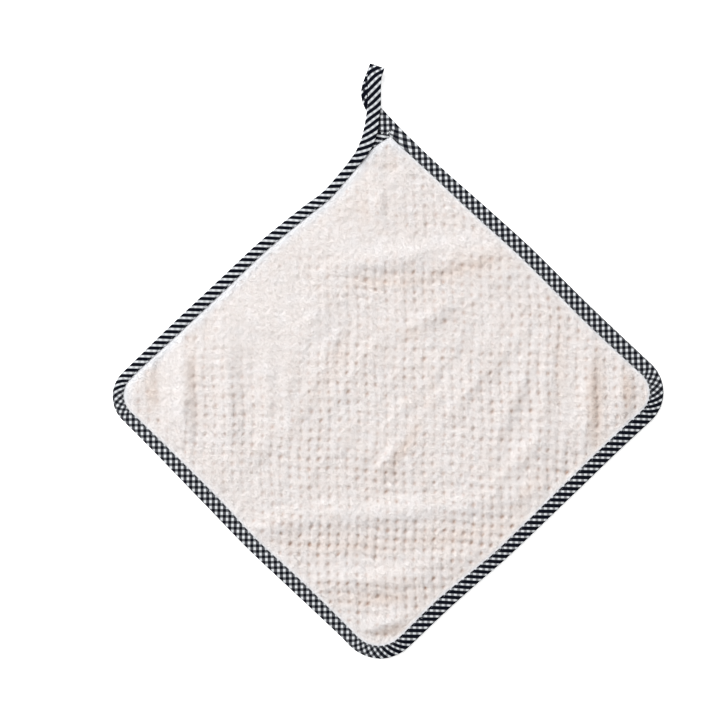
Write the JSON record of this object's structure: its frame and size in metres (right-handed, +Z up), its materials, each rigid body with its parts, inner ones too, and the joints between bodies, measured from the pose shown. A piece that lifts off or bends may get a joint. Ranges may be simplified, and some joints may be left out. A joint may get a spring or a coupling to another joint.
{
  "type": "square hand towel with hanging loop",
  "caption": "Square thick fleece hand towel lying face up, with rounded corners, a folded checked binding on its whole edge and a hanging loop at one corner.",
  "frame": {"origin": "the middle of the towel's underside, on the surface that it lies on", "axes": "+Z up, away from the surface; +Y from the middle of the towel towards the corner with the loop"},
  "size_m": [0.407, 0.439, 0.0094],
  "materials": {
    "fleece": "cream coral fleece woven in a fine grid of small hollows",
    "binding_check": "black and white checked cotton, cut on the bias",
    "loop_check": "black and white checked cotton, cut on the bias and folded shut"
  },
  "bodies": {
    "root": {"towel_cloth": "fleece", "edge_binding": "binding_check", "hanging_loop": "loop_check"}
  },
  "joints": []
}
